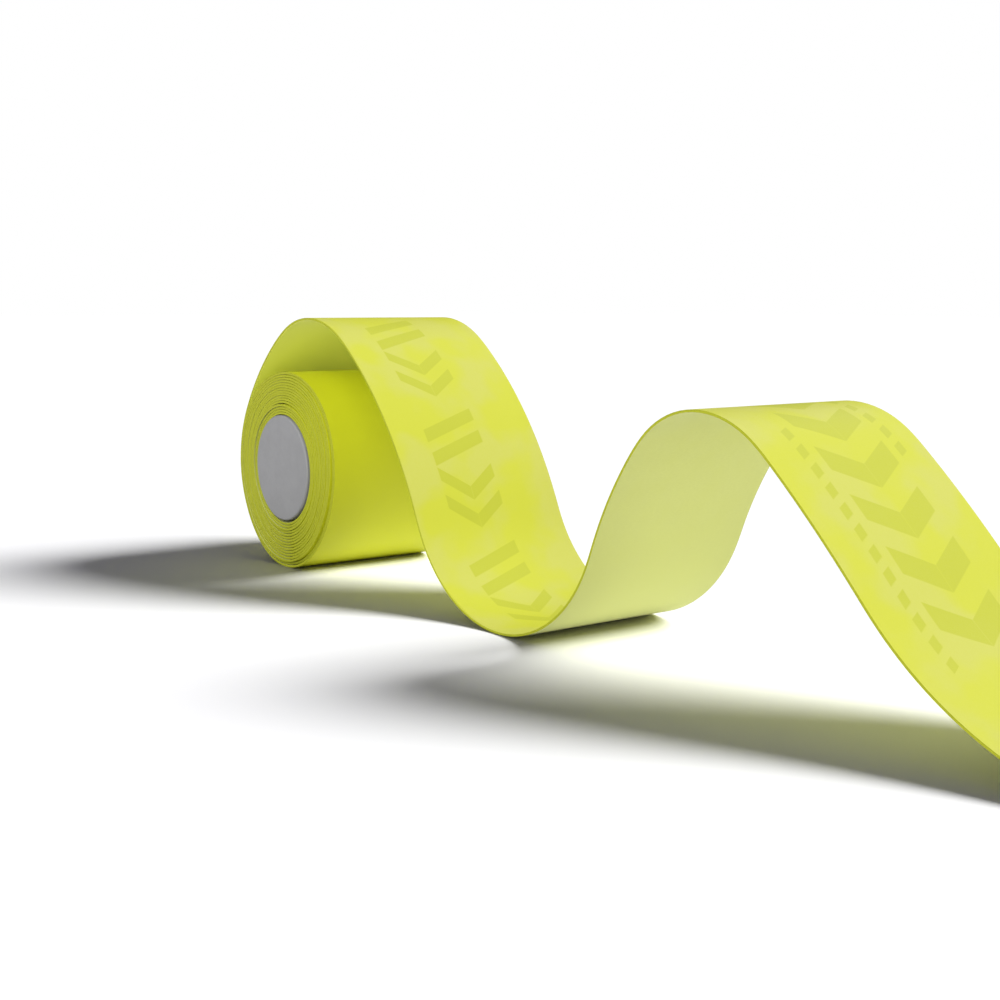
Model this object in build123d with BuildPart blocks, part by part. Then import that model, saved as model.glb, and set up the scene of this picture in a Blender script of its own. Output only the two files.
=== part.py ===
from build123d import *

import os
from math import cos, radians, sin

# Grip tape roll, in millimetres. +Z is up, the roll's axis lies along Y, and the free end of the
# tape runs out along +X. The origin is the middle of the underside of the whole object.

# Tape: a polyurethane face bonded to a non-woven backing
tape_width = 25.0
face_thick = 0.10
backing_thick = 0.20
tape_thick = face_thick + backing_thick
half_width = tape_width / 2
half_thick = tape_thick / 2

# Wound turns: loosely wound, so each turn adds more than the tape's thickness. The outer turn is a
# spiral of quarter arcs.
roll_radius = 15.35
turn_pitch = 0.45
quarter_step = turn_pitch / 4
roll_z = roll_radius + 3 * quarter_step

# Core: a tube with a cap at each side. The loose outer turns have let the roll slip off centre.
core_radius = 8.4
core_clearance = 0.05
core_shift_x = -0.75
core_shift_z = 0.30
tube_wall = 1.5
cap_proud = 0.35
cap_rim_fillet = 0.3
spigot_length = 5.0
spigot_wall = 1.0
spigot_clearance = 0.05

# Free end: tangent bends as (radius, turn in degrees), where a minus turn bends downwards.
# After each loop one more bend brings the strip level with what it lies on.
first_loop = [(16.5, -31), (40, -26), (16, -33), (18, -36), (60, -30)]
second_loop = [(19.5, 70), (48, -19), (12, -51), (14, -41), (160, -7)]
flat_run = 12.0
taper_length = 45.0
tip_width = 8.0
cut_margin = 1.0

# Adhesive patch under the tapered tip, and the paper liner that covers it
adhesive_thick = 0.10
adhesive_length = 37.0
adhesive_width = 5.0
adhesive_inset = 1.5
liner_thick = 0.10
liner_margin = 0.75
liner_tab = 4.0
liner_corner = 1.0


def follow(x, z, heading, radius, turn):
    """Where an arc that leaves x, z at a heading ends, and the heading there."""
    side = 1 if turn > 0 else -1
    centre_x = x - side * radius * sin(radians(heading))
    centre_z = z + side * radius * cos(radians(heading))
    heading += turn
    end_x = centre_x + side * radius * sin(radians(heading))
    end_z = centre_z - side * radius * cos(radians(heading))
    return end_x, end_z, heading


def free_end_bends():
    """All the bends of the strip's middle line, and how far past the roll's centre they reach."""
    bends = []
    x, z, heading = -roll_radius - half_thick, roll_z, 90
    dip_z = half_thick
    landing_z = half_thick + adhesive_thick + liner_thick
    for loop, level_z in ((first_loop, dip_z), (second_loop, landing_z)):
        for radius, turn in loop:
            bends.append((radius, turn))
            x, z, heading = follow(x, z, heading, radius, turn)
        level_radius = (z - level_z) / (1 - cos(radians(heading)))
        bends.append((level_radius, -heading))
        x, z, heading = follow(x, z, heading, level_radius, -heading)
    return bends, x


bends, landing_reach = free_end_bends()
tip_reach = landing_reach + flat_run + taper_length

# Places along X, with the whole object centred on the origin
roll_left = roll_radius + turn_pitch
roll_x = (roll_left - tip_reach - liner_tab) / 2
core_x = roll_x + core_shift_x
core_z = roll_z + core_shift_z
tip_x = roll_x + tip_reach
tip_top_z = liner_thick + adhesive_thick + tape_thick
taper_x = tip_x - taper_length
near_edge_y = -half_width


def layer_edge(offset):
    """One surface of a layer, seen from the side: tangent arcs, then straight to the tip.
    The offset is towards the printed side of the strip's middle line."""
    point = Vector(roll_x - roll_radius - half_thick - offset, roll_z)
    direction = Vector(0, 1)
    for radius, turn in bends:
        away = offset if turn < 0 else -offset
        arc = JernArc(start=point, tangent=direction, radius=radius + away, arc_size=turn)
        point, direction = arc @ 1, arc % 1
    return Line(point, (tip_x, point.Y))


def layer_profile(inner_offset, outer_offset):
    """Side view of the free end's layer between two offsets."""
    with BuildSketch(Plane.XZ) as profile:
        with BuildLine():
            inner = layer_edge(inner_offset)
            outer = layer_edge(outer_offset)
            start_x = roll_x - roll_radius - half_thick
            Line((start_x - inner_offset, roll_z), (start_x - outer_offset, roll_z))
            Line(inner @ 1, outer @ 1)
        make_face()
    return profile.sketch


def taper_waste():
    """Plan view of what is cut away to leave a slanted tip along the near edge."""
    tip_y = near_edge_y + tip_width
    with BuildSketch() as waste:
        with BuildLine():
            Polyline(
                (taper_x, half_width),
                (tip_x, tip_y),
                (tip_x + cut_margin, tip_y),
                (tip_x + cut_margin, half_width + cut_margin),
                (taper_x, half_width + cut_margin),
                close=True,
            )
        make_face()
    return waste.sketch


os.makedirs("parts", exist_ok=True)

# Wound turns, with the hole that the core sits in
with BuildPart() as wound_turns:
    with BuildSketch(Plane.XZ):
        with BuildLine():
            point = Vector(roll_x - roll_radius, roll_z)
            direction = Vector(0, 1)
            for quarter in range(4):
                turn_radius = roll_radius + quarter * quarter_step
                arc = JernArc(start=point, tangent=direction, radius=turn_radius, arc_size=-90)
                point, direction = arc @ 1, arc % 1
            Line(point, (roll_x - roll_radius, roll_z))
        make_face()
        with Locations((core_x, core_z)):
            Circle(core_radius + core_clearance, mode=Mode.SUBTRACT)
    extrude(amount=half_width, both=True)
wound_turns.part.label = "wound_turns"
export_step(wound_turns.part, "parts/wound_turns.step")

# Backing of the free end, on the side that faces the core and the table
with BuildPart() as tail_backing:
    extrude(layer_profile(-half_thick, backing_thick - half_thick), amount=half_width, both=True)
    extrude(taper_waste(), amount=tip_top_z + cut_margin, mode=Mode.SUBTRACT)
tail_backing.part.label = "tail_backing"
export_step(tail_backing.part, "parts/tail_backing.step")

# Printed face of the free end
with BuildPart() as tail_face:
    extrude(layer_profile(backing_thick - half_thick, half_thick), amount=half_width, both=True)
    extrude(taper_waste(), amount=tip_top_z + cut_margin, mode=Mode.SUBTRACT)
tail_face.part.label = "tail_face"
export_step(tail_face.part, "parts/tail_face.step")

# Adhesive patch, stuck to the backing along the near edge of the tip
with BuildPart() as adhesive_strip:
    adhesive_x = tip_x - adhesive_inset - adhesive_length / 2
    adhesive_y = near_edge_y + adhesive_inset + adhesive_width / 2
    with BuildSketch(Plane.XY.offset(liner_thick)):
        with Locations((adhesive_x, adhesive_y)):
            Rectangle(adhesive_length, adhesive_width)
    extrude(amount=adhesive_thick)
adhesive_strip.part.label = "adhesive_strip"
export_step(adhesive_strip.part, "parts/adhesive_strip.step")

# Release liner, with a tab past the tip to pull it off by
with BuildPart() as release_liner:
    liner_left = tip_x - adhesive_inset - adhesive_length - liner_margin
    liner_right = tip_x + liner_tab
    with BuildSketch():
        with Locations(((liner_left + liner_right) / 2, adhesive_y)):
            liner_width = adhesive_width + 2 * liner_margin
            RectangleRounded(liner_right - liner_left, liner_width, liner_corner)
    extrude(amount=liner_thick)
release_liner.part.label = "release_liner"
export_step(release_liner.part, "parts/release_liner.step")

# Core tube, as long as the tape is wide
with BuildPart() as core_tube:
    with BuildSketch(Plane.XZ):
        with Locations((core_x, core_z)):
            Circle(core_radius)
            Circle(core_radius - tube_wall, mode=Mode.SUBTRACT)
    extrude(amount=half_width, both=True)
core_tube.part.label = "core_tube"
export_step(core_tube.part, "parts/core_tube.step")

# Core caps: a flat head with a rounded rim over the tube's end, and a hollow spigot inside it
for side_name, side in (("front", -1), ("back", 1)):
    tube_end = Plane(
        origin=(core_x, side * half_width, core_z), x_dir=(1, 0, 0), z_dir=(0, side, 0)
    )
    spigot_radius = core_radius - tube_wall - spigot_clearance
    with BuildPart() as core_cap:
        with BuildSketch(tube_end):
            Circle(core_radius)
        extrude(amount=cap_proud)
        outward = Axis(tube_end.origin, tube_end.z_dir)
        rim = core_cap.edges().filter_by(GeomType.CIRCLE).sort_by(outward)[-1]
        fillet(rim, cap_rim_fillet)
        with BuildSketch(tube_end):
            Circle(spigot_radius)
            Circle(spigot_radius - spigot_wall, mode=Mode.SUBTRACT)
        extrude(amount=-spigot_length)
    core_cap.part.label = f"core_cap_{side_name}"
    export_step(core_cap.part, f"parts/core_cap_{side_name}.step")
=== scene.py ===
from math import cos, pi, radians, sin

import bpy
import numpy as np
from mathutils import Matrix, Vector


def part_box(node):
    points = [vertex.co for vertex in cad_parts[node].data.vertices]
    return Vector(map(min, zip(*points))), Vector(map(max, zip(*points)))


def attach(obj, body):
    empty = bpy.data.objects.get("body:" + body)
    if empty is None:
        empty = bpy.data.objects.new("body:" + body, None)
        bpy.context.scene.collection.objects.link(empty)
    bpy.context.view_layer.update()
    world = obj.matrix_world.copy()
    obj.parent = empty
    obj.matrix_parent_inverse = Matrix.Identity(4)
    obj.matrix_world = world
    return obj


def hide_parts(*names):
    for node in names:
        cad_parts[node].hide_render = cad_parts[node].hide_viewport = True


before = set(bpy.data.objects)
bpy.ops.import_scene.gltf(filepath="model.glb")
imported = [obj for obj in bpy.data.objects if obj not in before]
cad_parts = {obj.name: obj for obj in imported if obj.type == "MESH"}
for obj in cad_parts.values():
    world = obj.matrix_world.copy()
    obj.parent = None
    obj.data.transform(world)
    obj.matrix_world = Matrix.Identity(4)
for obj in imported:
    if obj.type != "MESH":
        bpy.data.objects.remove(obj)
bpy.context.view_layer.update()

# Everything is in metres, in the CAD model's frame: +Z up, the roll's axis along Y, the free end
# of the tape running out along +X.
MM = 0.001

# Places that come from the frame
core_low, core_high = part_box("core_tube")
CORE = (core_low + core_high) / 2
CORE_RADIUS = (core_high.x - core_low.x) / 2
roll_low, roll_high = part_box("wound_turns")
NEAR_Y = roll_low.y
TAPE_WIDTH = roll_high.y - roll_low.y
TIP_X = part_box("tail_face")[1].x

# The tape, as in the CAD model
FACE_THICK = 0.10 * MM
BACKING_THICK = 0.20 * MM
TAPE_THICK = FACE_THICK + BACKING_THICK
HALF_THICK = TAPE_THICK / 2
ROLL_RADIUS = 15.35 * MM
FIRST_LOOP = [(16.5, -31), (40, -26), (16, -33), (18, -36), (60, -30)]
SECOND_LOOP = [(19.5, 70), (48, -19), (12, -51), (14, -41), (160, -7)]
LANDING_LIFT = 0.20 * MM
TAPER_LENGTH = 45 * MM
TIP_WIDTH = 8 * MM

# How the tape is wound: the roll has relaxed into a loose three-lobed outline, given as (lobes,
# size, direction in degrees)
TURNS = 16
LOOSE_RADIUS = 15.72 * MM
LOBES = [(1, 0.47 * MM, 0), (2, 0.42 * MM, 54), (3, 0.31 * MM, 33)]
STEPS_PER_TURN = 72

# Room round the core, and how far the backing's underside swells into the loose turns
CORE_CLEARANCE = 0.05 * MM
CUSHION_SWELL = 0.07 * MM

# Where edges of the wound turns stand out from their neighbours, as (turn, reach in turns, sideways
# shift): two turns stand proud of the near side, and the last ones have slipped back from it
SLIPPED_TURNS = [
    (3.02, 0.34, -0.32 * MM),
    (13.90, 0.24, -0.22 * MM),
    (14.62, 0.20, 0.45 * MM),
    (15.60, 0.22, 0.40 * MM),
]

# Where the tape leaves the roll: the last wound stretch, over which the path is eased and the
# swollen backing thins, and the stretch over which the sideways slips die out
LEAVING = 12 * MM
SLIPS_END = (-8 * MM, 14 * MM)

# Fineness of the tape's meshes
PATH_STEP = 1.0 * MM
ARC_STEP = 0.25 * MM
EASE_LENGTH = 1.3 * MM
EASE_STEPS = 5
CORNER = 0.03 * MM
CORNER_ANGLES = [radians(a) for a in (0, 30, 60, 90)]
EDGE_ROW_INSET = 0.1 * MM
INNER_ROWS = np.linspace(-0.8, 0.8, 5)
LAYER_GAP = 0.004 * MM

# Camera: its angles, its place, measured along X from the core, and its lens. The floor's
# half-width is in metres.
YAW, PITCH, TILT = radians(36.63), radians(8.05), radians(-0.28)
EYE = Vector((CORE.x + 201.7 * MM, -119.4 * MM, 42.9 * MM))
LENS, SENSOR = 51.36, 36
FLOOR_REACH = 3.0

# Colours, as linear RGB and alpha. A pair holds the two tones of a grain.
WORLD_SEEN = (1, 1, 1, 1)
WORLD_FILL = (0.97, 0.95, 1.18, 1)
FLOOR_WHITE = (0.98, 0.98, 0.98, 1)
FACE_LIME = (0.543, 0.568, 0.010, 1)
FACE_HAZE = (0.535, 0.546, 0.080, 1)
FACE_SPECK = (0.500, 0.530, 0.020, 1)
FACE_PRINT = (0.462, 0.488, 0.020, 1)
EDGE_TONES = (0.334, 0.356, 0.012, 1), (0.408, 0.430, 0.028, 1)
BACKING_TONES = (0.640, 0.670, 0.228, 1), (0.668, 0.698, 0.244, 1)
BACKING_PATCH = (0.640, 0.670, 0.190, 1)
# Painted light: a bright lime for the backing near the roll, standing in for light bounced and
# shining through the tape
BACKING_PAINTED_BOUNCE = (0.900, 0.950, 0.110, 1)
BACKING_WOUND = (0.480, 0.505, 0.130, 1)
# Painted shade: a darker tone for the backing past the dip, against the floor's bounce light at the
# foot of the second loop
BACKING_PAINTED_SHADE = (0.520, 0.550, 0.170, 1)
CAP_TONES = (0.240, 0.240, 0.242, 1), (0.258, 0.258, 0.260, 1)
TUBE_TONES = (0.260, 0.260, 0.265, 1), (0.310, 0.310, 0.315, 1)
ADHESIVE_TONES = (0.70, 0.70, 0.60, 1), (0.80, 0.80, 0.72, 1)
LINER_TONES = (0.50, 0.50, 0.46, 1), (0.60, 0.60, 0.57, 1)

# Where the backing's tints, its painted bounce light and its painted shade start and end along the
# tape, in millimetres from the roll
# Where the painted bounce light on the backing starts and fades out
PAINTED_BOUNCE_FADES = (8.0, 90.0)
WOUND_FADES = (-22.0, -2.0)
# Where the painted shade on the backing past the dip starts and fades out
PAINTED_SHADE_STARTS = (104.0, 114.0)
PAINTED_SHADE_FADES = (114.0, 142.0)


# ---------------------------------------------------------------- camera, light and floor

def make_camera():
    """Camera at the photograph's viewing angle."""
    level = Vector((-cos(YAW), sin(YAW), 0))
    right = Vector((sin(YAW), cos(YAW), 0))
    up = Vector((0, 0, 1))
    forward = cos(PITCH) * level - sin(PITCH) * up
    down = -(sin(PITCH) * level + cos(PITCH) * up)
    tilted_right = cos(TILT) * right + sin(TILT) * down
    tilted_down = -sin(TILT) * right + cos(TILT) * down
    data = bpy.data.cameras.new("camera")
    data.sensor_width = SENSOR
    data.lens = LENS
    data.clip_start = 0.005
    data.clip_end = 20
    camera = bpy.data.objects.new("camera", data)
    bpy.context.scene.collection.objects.link(camera)
    turn = Matrix((tilted_right, -tilted_down, -forward)).transposed().to_4x4()
    camera.matrix_world = Matrix.Translation(EYE) @ turn
    bpy.context.scene.camera = camera


def add_sun(name, azimuth, elevation, strength, spread, floor, on_floor=False):
    """A soft distant light, either on everything but the floor or on the floor alone. The azimuth
    is measured from +X towards +Y."""
    data = bpy.data.lights.new(name, "SUN")
    data.energy = strength
    data.angle = radians(spread)
    lamp = bpy.data.objects.new(name, data)
    a, e = radians(azimuth), radians(elevation)
    towards = Vector((cos(a) * cos(e), sin(a) * cos(e), sin(e)))
    lamp.matrix_world = towards.to_track_quat("Z", "Y").to_matrix().to_4x4()
    bpy.context.scene.collection.objects.link(lamp)
    lit = bpy.data.collections.new(name + "_lights")
    lit.objects.link(floor)
    lit.collection_objects[0].light_linking.link_state = "INCLUDE" if on_floor else "EXCLUDE"
    lamp.light_linking.receiver_collection = lit


def make_studio(floor):
    """White surroundings. The key from behind on the right casts the shadows on the floor, and
    broad fills light the object evenly."""
    bpy.context.scene.view_settings.view_transform = "Standard"
    world = bpy.data.worlds.new("studio")
    bpy.context.scene.world = world
    world.use_nodes = True
    tree = world.node_tree
    tree.nodes.clear()
    seen = add(tree, "ShaderNodeBackground", {"Color": WORLD_SEEN, "Strength": 1.0})
    fill = add(tree, "ShaderNodeBackground", {"Color": WORLD_FILL, "Strength": 0.12})
    ray = add(tree, "ShaderNodeLightPath")
    mixed = add(tree, "ShaderNodeMixShader", {0: ray.outputs["Is Camera Ray"]})
    tree.links.new(fill.outputs[0], mixed.inputs[1])
    tree.links.new(seen.outputs[0], mixed.inputs[2])
    output = add(tree, "ShaderNodeOutputWorld")
    tree.links.new(mixed.outputs[0], output.inputs[0])
    add_sun("key", 55, 37, strength=5.1, spread=26, floor=floor, on_floor=True)
    add_sun("front_fill", -62, 18, strength=3.08, spread=80, floor=floor)
    add_sun("top_fill", 0, 86, strength=1.6, spread=110, floor=floor)
    add_sun("back_fill", 75, 22, strength=1.8, spread=90, floor=floor)


def make_floor():
    """A plain pale floor."""
    mesh = bpy.data.meshes.new("floor")
    signs = ((-1, -1), (1, -1), (1, 1), (-1, 1))
    corners = [(x * FLOOR_REACH, y * FLOOR_REACH, 0) for x, y in signs]
    mesh.from_pydata(corners, [], [(0, 1, 2, 3)])
    floor = bpy.data.objects.new("floor", mesh)
    bpy.context.scene.collection.objects.link(floor)
    _, shader = new_material("floor_paper")
    shader.inputs["Base Color"].default_value = FLOOR_WHITE
    shader.inputs["Roughness"].default_value = 0.9
    shader.inputs["Specular IOR Level"].default_value = 0.1
    mesh.materials.append(bpy.data.materials["floor_paper"])
    return floor


# ---------------------------------------------------------------- shader helpers

def add(tree, kind, inputs=None, **settings):
    """Adds a node. An input is a value, or another node's socket to link."""
    made = tree.nodes.new(kind)
    for name, value in settings.items():
        setattr(made, name, value)
    for name, value in (inputs or {}).items():
        if isinstance(value, bpy.types.NodeSocket):
            tree.links.new(value, made.inputs[name])
        else:
            made.inputs[name].default_value = value
    return made


def calc(tree, operation, *values):
    """The result of a Math node."""
    return add(tree, "ShaderNodeMath", dict(enumerate(values)), operation=operation).outputs[0]


def fade(tree, value, start, end, low=1.0, high=0.0):
    """Goes smoothly from low at start to high at end."""
    inputs = {"Value": value, "From Min": start, "From Max": end, "To Min": low, "To Max": high}
    made = add(tree, "ShaderNodeMapRange", inputs, interpolation_type="SMOOTHSTEP")
    return made.outputs["Result"]


def mix(tree, amount, first, second):
    """Mixes two colours."""
    made = add(tree, "ShaderNodeMix", data_type="RGBA")
    for place, value in ((0, amount), (6, first), (7, second)):
        socket = made.inputs[place]
        if isinstance(value, bpy.types.NodeSocket):
            tree.links.new(value, socket)
        else:
            socket.default_value = value
    return made.outputs[2]


def noise(tree, place, scale, detail=2.0, rough=0.5):
    """A noise value at a place."""
    inputs = {"Vector": place, "Scale": scale, "Detail": detail, "Roughness": rough}
    return add(tree, "ShaderNodeTexNoise", inputs).outputs["Fac"]


def bump(tree, shader, height, depth, strength):
    """Gives the shader a fine relief."""
    made = add(tree, "ShaderNodeBump", {"Height": height, "Distance": depth, "Strength": strength})
    tree.links.new(made.outputs["Normal"], shader.inputs["Normal"])


def new_material(name):
    """A material with only its Principled shader: returns its node tree and the shader."""
    material = bpy.data.materials.new(name)
    material.use_nodes = True
    tree = material.node_tree
    tree.nodes.clear()
    shader = add(tree, "ShaderNodeBsdfPrincipled")
    output = add(tree, "ShaderNodeOutputMaterial")
    tree.links.new(shader.outputs[0], output.inputs[0])
    return tree, shader


def strip_place(tree):
    """Place on the tape in millimetres: along it from where it leaves the roll, and across it."""
    made = add(tree, "ShaderNodeAttribute", attribute_name="strip")
    split = add(tree, "ShaderNodeSeparateXYZ", {0: made.outputs["Vector"]})
    return made.outputs["Vector"], split.outputs[0], split.outputs[1]


# ---------------------------------------------------------------- materials

def band(tree, value, low, high, soft=0.12):
    """1 where the value lies between low and high, with a slightly soft edge."""
    middle, half = (low + high) / 2, (high - low) / 2
    away = calc(tree, "ABSOLUTE", calc(tree, "SUBTRACT", value, middle))
    return fade(tree, away, half - soft, half + soft)


def bars(tree, along, across, rows, start, end, pitch, stroke, slope):
    """A run of slanted bars between two places along the tape, in one row across it."""
    low, high = rows
    lean = calc(tree, "MULTIPLY", calc(tree, "SUBTRACT", across, (low + high) / 2), slope)
    leaning = calc(tree, "ADD", along, lean)
    repeat = calc(tree, "WRAP", leaning, start + pitch, start)
    run = band(tree, leaning, start, end, 0.01)
    bar = band(tree, repeat, start, start + stroke)
    return calc(tree, "MULTIPLY", calc(tree, "MULTIPLY", run, bar), band(tree, across, low, high))


def either(tree, masks):
    """1 where any mask is 1."""
    total = masks[0]
    for mask in masks[1:]:
        total = calc(tree, "MAXIMUM", total, mask)
    return total


def tone_print(tree, along, across):
    """The tone-on-tone print: a row of double chevrons and slanted bars on the first loop, then a
    herringbone of broad bars with small dashes beside it on the second."""
    masks = []

    def row(low, high, start, end, pitch, stroke, slope):
        """Adds bars between two places across the tape and two along it, in millimetres."""
        masks.append(bars(tree, along, across, (low, high), start, end, pitch, stroke, slope))

    for start in (30.0, 34.2):
        row(-6.8, -2.1, start, start + 66.5, pitch=21.4, stroke=2.1, slope=-0.7)
        row(-2.1, 2.6, start, start + 66.5, pitch=21.4, stroke=2.1, slope=0.7)
    for start in (42.0, 45.8):
        row(-6.8, 2.6, start, start + 45.0, pitch=21.4, stroke=2.1, slope=0.35)
    row(-4.6, 0.9, 151.0, 191.0, pitch=6.7, stroke=3.4, slope=-0.55)
    row(0.9, 6.4, 151.0, 191.0, pitch=6.7, stroke=3.4, slope=0.55)
    row(-7.4, -6.0, 160.0, 191.0, pitch=2.7, stroke=1.6, slope=0.5)
    row(7.7, 9.1, 150.0, 166.0, pitch=2.7, stroke=1.6, slope=0.5)
    return either(tree, masks)


def make_face_material():
    """Printed polyurethane face: lime, with a soft pale haze where air has reached it, a faint pore
    grain and a tacky sheen."""
    tree, shader = new_material("printed_polyurethane")
    place, along, across = strip_place(tree)
    cloud = noise(tree, place, 0.12, detail=2.0, rough=0.45)
    blotch = fade(tree, cloud, 0.40, 0.62, 0.25, 1.0)
    haze = calc(tree, "MULTIPLY", blotch, fade(tree, along, 6.0, 26.0, 0.0, 1.0))
    ground = mix(tree, haze, FACE_LIME, FACE_HAZE)
    speck = fade(tree, noise(tree, place, 3.2, detail=2.0), 0.35, 0.75, 0.0, 0.12)
    ground = mix(tree, speck, ground, FACE_SPECK)
    printed = calc(tree, "MULTIPLY", tone_print(tree, along, across), 0.92)
    colour = mix(tree, printed, ground, FACE_PRINT)
    tree.links.new(colour, shader.inputs["Base Color"])
    pores = noise(tree, place, 9.0, detail=3.0, rough=0.6)
    rough = fade(tree, pores, 0.3, 0.7, 0.46, 0.58)
    tree.links.new(rough, shader.inputs["Roughness"])
    shader.inputs["Specular IOR Level"].default_value = 0.32
    relief = calc(tree, "SUBTRACT", pores, calc(tree, "MULTIPLY", printed, 0.35))
    bump(tree, shader, relief, 0.02 * MM, 0.35)


def make_edge_material():
    """Knife-cut edge of the tape: darker olive, slightly fibrous."""
    tree, shader = new_material("cut_edge")
    place, _, _ = strip_place(tree)
    fibres = noise(tree, place, 6.0, detail=3.0, rough=0.65)
    raised = fade(tree, fibres, 0.3, 0.7, 0.0, 1.0)
    colour = mix(tree, raised, *EDGE_TONES)
    tree.links.new(colour, shader.inputs["Base Color"])
    tree.links.new(fade(tree, fibres, 0.3, 0.7, 0.62, 0.8), shader.inputs["Roughness"])
    shader.inputs["Specular IOR Level"].default_value = 0.2
    bump(tree, shader, fibres, 0.03 * MM, 0.4)


def make_backing_material():
    """Non-woven backing: pale, matt, with a felted fibre texture. Near the roll it carries painted
    light, a bright lime standing in for light bounced and shining through the tape inside the first
    loop; it is duller where it is wound tight, and past the dip it carries painted shade against
    the floor's bounce light at the foot of the second loop."""
    tree, shader = new_material("nonwoven_backing")
    place, along, _ = strip_place(tree)
    stretch = add(tree, "ShaderNodeMapping", {"Vector": place, "Scale": (1.0, 0.35, 1.0)})
    fibres = noise(tree, stretch.outputs[0], 5.5, detail=4.0, rough=0.7)
    patch = noise(tree, place, 0.25, detail=2.0)
    raised = fade(tree, fibres, 0.3, 0.7, 0.0, 1.0)
    patchy = fade(tree, patch, 0.35, 0.7, 0.0, 0.25)
    colour = mix(tree, raised, *BACKING_TONES)
    colour = mix(tree, patchy, colour, BACKING_PATCH)
    # Painted light: bright lime near the roll, for light bounced and shining through the tape
    # inside the first loop
    painted_bounce = fade(tree, along, *PAINTED_BOUNCE_FADES, 0.95, 0.0)
    colour = mix(tree, painted_bounce, colour, BACKING_PAINTED_BOUNCE)
    wound = fade(tree, along, *WOUND_FADES)
    colour = mix(tree, wound, colour, BACKING_WOUND)
    # Painted shade past the dip, darkening the backing against the floor's bounce light at the foot
    # of the second loop
    past_dip = fade(tree, along, *PAINTED_SHADE_STARTS, 0.0, 1.0)
    painted_shade = calc(tree, "MULTIPLY", past_dip, fade(tree, along, *PAINTED_SHADE_FADES))
    painted_shade = calc(tree, "MULTIPLY", painted_shade, 0.8)
    colour = mix(tree, painted_shade, colour, BACKING_PAINTED_SHADE)
    tree.links.new(colour, shader.inputs["Base Color"])
    tree.links.new(fade(tree, fibres, 0.3, 0.7, 0.72, 0.9), shader.inputs["Roughness"])
    shader.inputs["Specular IOR Level"].default_value = 0.15
    shader.inputs["Sheen Weight"].default_value = 0.15
    bump(tree, shader, fibres, 0.03 * MM, 0.2)


def make_plastic(name, dark, light, roughness):
    """Moulded plastic with a fine spark-eroded grain and faint handling marks."""
    tree, shader = new_material(name)
    place = add(tree, "ShaderNodeTexCoord").outputs["Object"]
    cloud = noise(tree, place, 90.0, detail=2.0)
    colour = mix(tree, fade(tree, cloud, 0.3, 0.7, 0.0, 1.0), dark, light)
    tree.links.new(colour, shader.inputs["Base Color"])
    grain = noise(tree, place, 5200.0, detail=2.0)
    marks = noise(tree, place, 420.0, detail=4.0, rough=0.7)
    low, high = roughness
    tree.links.new(fade(tree, marks, 0.35, 0.7, low, high), shader.inputs["Roughness"])
    shader.inputs["Specular IOR Level"].default_value = 0.4
    bump(tree, shader, grain, 0.015 * MM, 0.3)


def make_adhesive_material():
    """Milky adhesive with a fine scrim showing through."""
    tree, shader = new_material("milky_adhesive")
    place = add(tree, "ShaderNodeTexCoord").outputs["Object"]
    scrim = add(tree, "ShaderNodeTexWave", {"Vector": place, "Scale": 600.0, "Distortion": 0.6})
    threads = fade(tree, scrim.outputs["Fac"], 0.2, 0.8, 0.0, 1.0)
    colour = mix(tree, threads, *ADHESIVE_TONES)
    tree.links.new(colour, shader.inputs["Base Color"])
    cloud = noise(tree, place, 900.0, detail=3.0)
    tree.links.new(fade(tree, cloud, 0.3, 0.7, 0.18, 0.34), shader.inputs["Roughness"])
    bump(tree, shader, scrim.outputs["Fac"], 0.02 * MM, 0.3)


def make_liner_material():
    """Glazed release paper with fibre clouding."""
    tree, shader = new_material("glazed_liner_paper")
    place = add(tree, "ShaderNodeTexCoord").outputs["Object"]
    fibre = noise(tree, place, 1500.0, detail=5.0, rough=0.7)
    cloud = noise(tree, place, 260.0, detail=3.0)
    cloudy = fade(tree, cloud, 0.3, 0.7, 0.0, 1.0)
    colour = mix(tree, cloudy, *LINER_TONES)
    tree.links.new(colour, shader.inputs["Base Color"])
    tree.links.new(fade(tree, fibre, 0.3, 0.7, 0.32, 0.5), shader.inputs["Roughness"])
    bump(tree, shader, fibre, 0.012 * MM, 0.4)


# ---------------------------------------------------------------- the tape's path

def bell(angle, middle, half_width):
    """1 at an angle, falling smoothly to 0 beside it, in degrees."""
    away = (angle - middle + 180) % 360 - 180
    return np.exp(-((away / half_width) ** 2))


def ramp(value, start, end):
    """0 before start, 1 after end, smooth between them."""
    t = np.clip((value - start) / (end - start), 0, 1)
    return t * t * (3 - 2 * t)


def wound_path():
    """The wound turns from the core outwards: places in the XZ plane, and each place's sideways
    slip."""
    turn = np.linspace(0, TURNS, TURNS * STEPS_PER_TURN + 1)
    angle = 180 - 360 * turn
    outer = np.full_like(turn, LOOSE_RADIUS - HALF_THICK)
    for count, size, direction in LOBES:
        outer += size * np.cos(np.radians(count * (angle - direction)))
    inner = CORE_RADIUS + CORE_CLEARANCE + CUSHION_SWELL + HALF_THICK
    radius = inner + (outer - inner) * turn / TURNS
    # A gap at the top above the fourth turn, and a slack last turn low on the right
    gap = ramp(turn, 3.8, 4.2) * (1 - ramp(turn, 4.6, 13.0))
    radius += 0.12 * MM * bell(angle, 90, 30) * gap
    radius += 0.08 * MM * bell(angle, -45, 35) * ramp(turn, 14.9, 15.3)
    points = np.stack([CORE.x + radius * np.cos(np.radians(angle)),
                       CORE.z + radius * np.sin(np.radians(angle))], 1)
    points[:, 1] = np.maximum(points[:, 1], HALF_THICK)
    # The edges wander a little everywhere
    slip = 0.03 * MM * np.sin(2 * pi * 0.37 * turn) + 0.02 * MM * np.sin(2 * pi * 1.13 * turn + 1)
    for middle, reach, shift in SLIPPED_TURNS:
        slip += shift * np.exp(-(((turn - middle) / reach) ** 2))
    return points, slip


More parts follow.
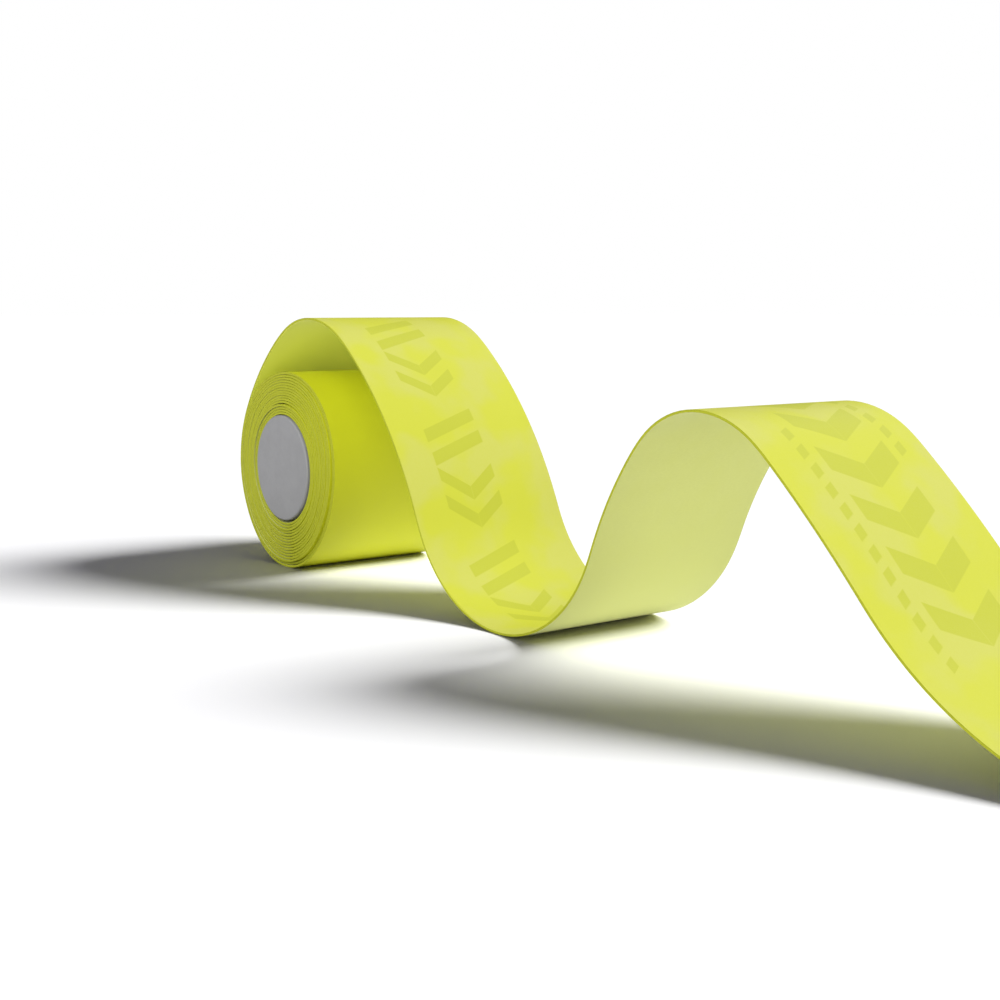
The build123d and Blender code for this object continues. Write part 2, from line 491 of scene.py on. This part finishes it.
def free_path():
    """The free end's middle line, as the CAD model's tangent arcs and a straight run to the tip."""
    x, z, heading = roll_low.x + HALF_THICK, roll_high.z - ROLL_RADIUS, pi / 2
    points = [(x, z)]
    for loop, level in ((FIRST_LOOP, HALF_THICK), (SECOND_LOOP, HALF_THICK + LANDING_LIFT)):
        bends = [(radius * MM, radians(turn)) for radius, turn in loop] + [None]
        for bend in bends:
            radius, turn = bend or ((z - level) / (1 - cos(heading)), -heading)
            away = radius if turn > 0 else -radius
            centre_x = x - away * sin(heading)
            centre_z = z + away * cos(heading)
            steps = max(8, int(abs(turn) * radius / ARC_STEP))
            for share in np.linspace(0, 1, steps + 1)[1:]:
                now = heading + turn * share
                points.append((centre_x + away * sin(now), centre_z - away * cos(now)))
            x, z = points[-1]
            heading += turn
    points.append((TIP_X, z))
    return np.array(points)


def tape_path():
    """The whole tape at even steps: places, directions, sideways slips, distances from where the
    tape leaves the roll, and the tape's length."""
    wound, slip = wound_path()
    free = free_path()
    points = np.concatenate([wound[:-1], free])
    slip = np.concatenate([slip[:-1], np.zeros(len(free))])
    run = np.concatenate([[0], np.cumsum(np.hypot(*np.diff(points, axis=0).T))])
    leave = run[len(wound) - 1]
    count = int(run[-1] / PATH_STEP)
    even = np.linspace(0, run[-1], count + 1)
    places = np.stack([np.interp(even, run, points[:, 0]), np.interp(even, run, points[:, 1])], 1)
    slips = np.interp(even, run, slip)
    # Ease the joints between the arcs, as the springy tape does
    steps = np.arange(-EASE_STEPS, EASE_STEPS + 1)
    weights = np.exp(-0.5 * (steps * PATH_STEP / EASE_LENGTH) ** 2)
    weights /= weights.sum()
    eased = places.copy()
    for i in range(EASE_STEPS, count + 1 - EASE_STEPS):
        eased[i] = weights @ places[i - EASE_STEPS:i + EASE_STEPS + 1]
    off_roll = ramp(even, leave - LEAVING, leave)[:, None]
    places = places * (1 - off_roll) + eased * off_roll
    slopes = np.gradient(places, axis=0)
    slopes /= np.linalg.norm(slopes, axis=1)[:, None]
    slips *= 1 - ramp(even, leave + SLIPS_END[0], leave + SLIPS_END[1])
    return places, slopes, slips, even - leave, run[-1]


# ---------------------------------------------------------------- the tape's meshes

def layer_ring(low, high):
    """Cross-section of a layer with rounded corners, as (place across the tape, offset), and which
    of its sides belong to the cut edges."""
    half = TAPE_WIDTH / 2
    inner = half - CORNER
    ring, cut = [], []
    across = [-inner + EDGE_ROW_INSET, *(INNER_ROWS * half), inner - EDGE_ROW_INSET]
    for middle, start in ((low + CORNER, -pi / 2), (high - CORNER, 0)):
        for a in CORNER_ANGLES:
            ring.append((inner + CORNER * cos(start + a), middle + CORNER * sin(start + a)))
            cut.append(True)
    cut[-1] = False
    for y in reversed(across):
        ring.append((y, high))
        cut.append(False)
    for middle, start in ((high - CORNER, pi / 2), (low + CORNER, pi)):
        for a in CORNER_ANGLES:
            ring.append((-inner + CORNER * cos(start + a), middle + CORNER * sin(start + a)))
            cut.append(True)
    cut[-1] = False
    for y in across:
        ring.append((y, low))
        cut.append(False)
    return np.array(ring), cut


def tape_width_at(places, along):
    """Full width, then the slanted cut that narrows the tape to its tip."""
    share = np.clip((places[:, 0] - (TIP_X - TAPER_LENGTH)) / TAPER_LENGTH, 0, 1) * (along > 0)
    return TAPE_WIDTH + (TIP_WIDTH - TAPE_WIDTH) * share


def build_layer(name, low, high, materials, path):
    """One layer of the tape, between two offsets from its middle line."""
    places, slopes, slips, along, _ = path
    ring, cut = layer_ring(low, high)
    outward = np.stack([-slopes[:, 1], slopes[:, 0]], 1)
    widths = tape_width_at(places, along) / TAPE_WIDTH
    rows, marks = [], []
    # The backing's underside swells where it is wound
    swell = CUSHION_SWELL * (1 - ramp(along, -LEAVING, 0))
    underside = ring[:, 1] < 0
    for place, out, slip, width, s, more in zip(places, outward, slips, widths, along, swell):
        offset = np.where(underside, ring[:, 1] - more, ring[:, 1])
        y = NEAR_Y + (ring[:, 0] + TAPE_WIDTH / 2) * width + slip
        rows.append(np.stack([place[0] + out[0] * offset, y, place[1] + out[1] * offset], 1))
        marks.append(np.stack([np.full(len(ring), s), y, offset], 1) / MM)
    count = len(ring)
    faces, kinds = [], []
    for i in range(len(rows) - 1):
        for j in range(count):
            k = (j + 1) % count
            faces.append((i * count + j, (i + 1) * count + j, (i + 1) * count + k, i * count + k))
            kinds.append(1 if cut[j] else 0)
    last = (len(rows) - 1) * count
    faces.append(tuple(range(count)))
    faces.append(tuple(last + j for j in reversed(range(count))))
    kinds += [1, 1]
    mesh = bpy.data.meshes.new(name)
    mesh.from_pydata(np.concatenate(rows).tolist(), [], faces)
    mesh.polygons.foreach_set("material_index", kinds)
    mesh.polygons.foreach_set("use_smooth", [True] * len(faces))
    strip = mesh.attributes.new("strip", "FLOAT_VECTOR", "POINT")
    strip.data.foreach_set("vector", np.concatenate(marks).astype(np.float32).ravel())
    for material in materials:
        mesh.materials.append(bpy.data.materials[material])
    mesh.update()
    layer = bpy.data.objects.new(name, mesh)
    bpy.context.scene.collection.objects.link(layer)
    return layer


def make_tape():
    """The printed face and the backing, from the core to the tip."""
    path = tape_path()
    between = BACKING_THICK - HALF_THICK
    looks = ["printed_polyurethane", "cut_edge"]
    face = build_layer("tape_face", between + LAYER_GAP, HALF_THICK, looks, path)
    looks = ["nonwoven_backing", "cut_edge"]
    backing = build_layer("tape_backing", -HALF_THICK, between, looks, path)
    for layer, node, slot in (
        (face, "tail_face", "tape_face"),
        (backing, "tail_backing", "tape_backing"),
    ):
        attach(layer, "tape")
        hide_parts(node, "wound_turns")


def dress_nodes():
    """Materials for the CAD nodes that stay in view."""
    make_plastic("cap_plastic_grain", *CAP_TONES, roughness=(0.42, 0.58))
    make_plastic("tube_plastic_grain", *TUBE_TONES, roughness=(0.5, 0.65))
    make_adhesive_material()
    make_liner_material()
    dressing = {
        "core_cap_front": "cap_plastic_grain",
        "core_cap_back": "cap_plastic_grain",
        "core_tube": "tube_plastic_grain",
        "adhesive_strip": "milky_adhesive",
        "release_liner": "glazed_liner_paper",
    }
    for node, material in dressing.items():
        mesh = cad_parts[node].data
        mesh.materials.clear()
        mesh.materials.append(bpy.data.materials[material])


make_camera()
make_studio(make_floor())
make_face_material()
make_edge_material()
make_backing_material()
make_tape()
dress_nodes()
